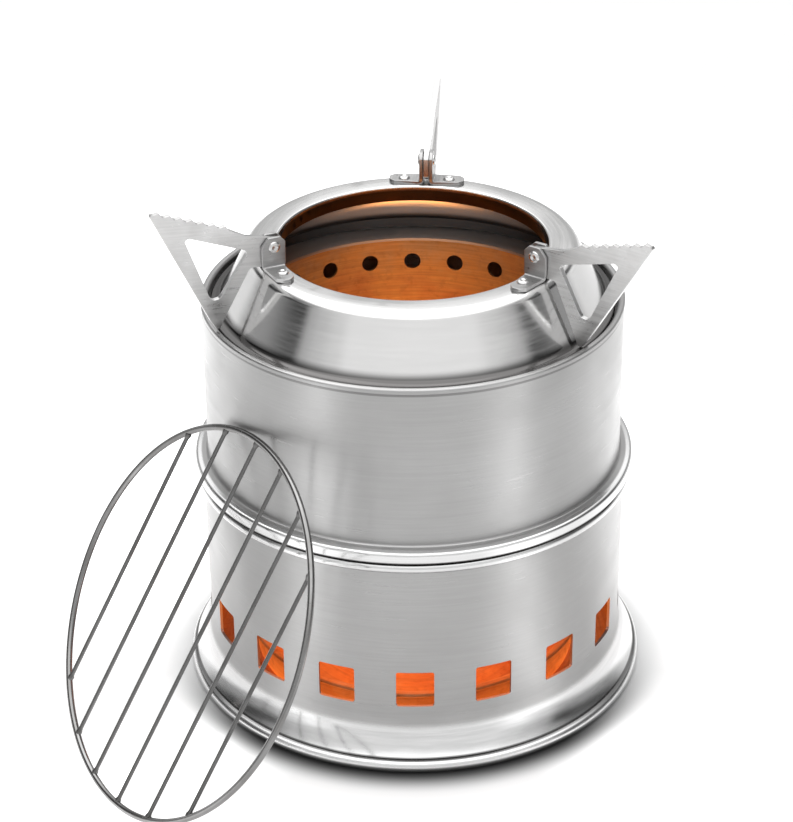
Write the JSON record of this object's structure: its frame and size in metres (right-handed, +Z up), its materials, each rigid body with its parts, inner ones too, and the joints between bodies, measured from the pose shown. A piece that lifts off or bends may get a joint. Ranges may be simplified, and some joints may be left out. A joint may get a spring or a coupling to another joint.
{
  "type": "rocket stove",
  "caption": "Stacked round sheet-steel wood stove: vented base, fire section and crown with folding toothed pot supports, and a loose round wire grill leaning on its side.",
  "frame": {"origin": "centre of the foot, on the surface that the stove stands on", "axes": "+Z up, -Y towards the front of the stove, where one vent faces straight out; the grill leans at -X, -Y"},
  "size_m": [0.1686, 0.1896, 0.1565],
  "materials": {
    "shell_steel": "bright stainless sheet with a fine grain round the shell",
    "inner_steel": "plain stainless sheet, slightly heat-dulled",
    "fired_steel": "stainless sheet with straw and bronze heat tint",
    "crown_steel": "polished pressed stainless sheet",
    "arm_steel": "satin stainless plate",
    "bracket_steel": "satin stainless sheet",
    "pin_steel": "bright rivet heads",
    "grill_wire": "plated wire, polished"
  },
  "bodies": {
    "base": {"base_shell": "shell_steel", "base_floor": "inner_steel"},
    "ash_pan": {"ash_pan": "inner_steel"},
    "upper": {"upper_shell": "shell_steel", "chamber_ring": "inner_steel", "fire_can": "fired_steel", "fire_grate": "fired_steel"},
    "crown": {"crown": "crown_steel", "bracket_left_a": "bracket_steel", "bracket_left_b": "bracket_steel", "bracket_right_a": "bracket_steel", "bracket_right_b": "bracket_steel", "bracket_back_a": "bracket_steel", "bracket_back_b": "bracket_steel", "pivot_pin_left": "pin_steel", "pivot_pin_right": "pin_steel", "pivot_pin_back": "pin_steel", "bracket_rivets_left": "pin_steel", "bracket_rivets_right": "pin_steel", "bracket_rivets_back": "pin_steel"},
    "arm_left": {"arm_left": "arm_steel"},
    "arm_right": {"arm_right": "arm_steel"},
    "arm_back": {"arm_back": "arm_steel"},
    "grill": {"grill_ring": "grill_wire", "grill_wire_1": "grill_wire", "grill_wire_2": "grill_wire", "grill_wire_3": "grill_wire", "grill_wire_4": "grill_wire", "grill_wire_5": "grill_wire", "grill_wire_6": "grill_wire"}
  },
  "joints": [
    {"name": "upper_lift", "type": "slide", "parent": "base", "child": "upper", "axis": [0, 0, 1], "range_m": [0, 0.06]},
    {"name": "crown_lift", "type": "slide", "parent": "upper", "child": "crown", "axis": [0, 0, 1], "range_m": [0, 0.04]},
    {"name": "ash_pan_lift", "type": "slide", "parent": "base", "child": "ash_pan", "axis": [0, 0, 1], "range_m": [0, 0.02]},
    {"name": "grill_slide", "type": "slide", "parent": "upper", "child": "grill", "axis": [-0.848, -0.5299, 0], "range_m": [0, 0.08]},
    {"name": "arm_left_fold", "type": "hinge", "parent": "crown", "child": "arm_left", "pos_m": [-0.03837, -0.01708, 0.141], "axis": [-0.4067, 0.9135, 0], "range_deg": [-6, 200]},
    {"name": "arm_right_fold", "type": "hinge", "parent": "crown", "child": "arm_right", "pos_m": [0.03398, -0.02469, 0.141], "axis": [-0.5878, -0.809, 0], "range_deg": [0, 206]},
    {"name": "arm_back_fold", "type": "hinge", "parent": "crown", "child": "arm_back", "pos_m": [0.00439, 0.04177, 0.141], "axis": [0.9945, -0.1045, 0], "range_deg": [0, 206]}
  ]
}
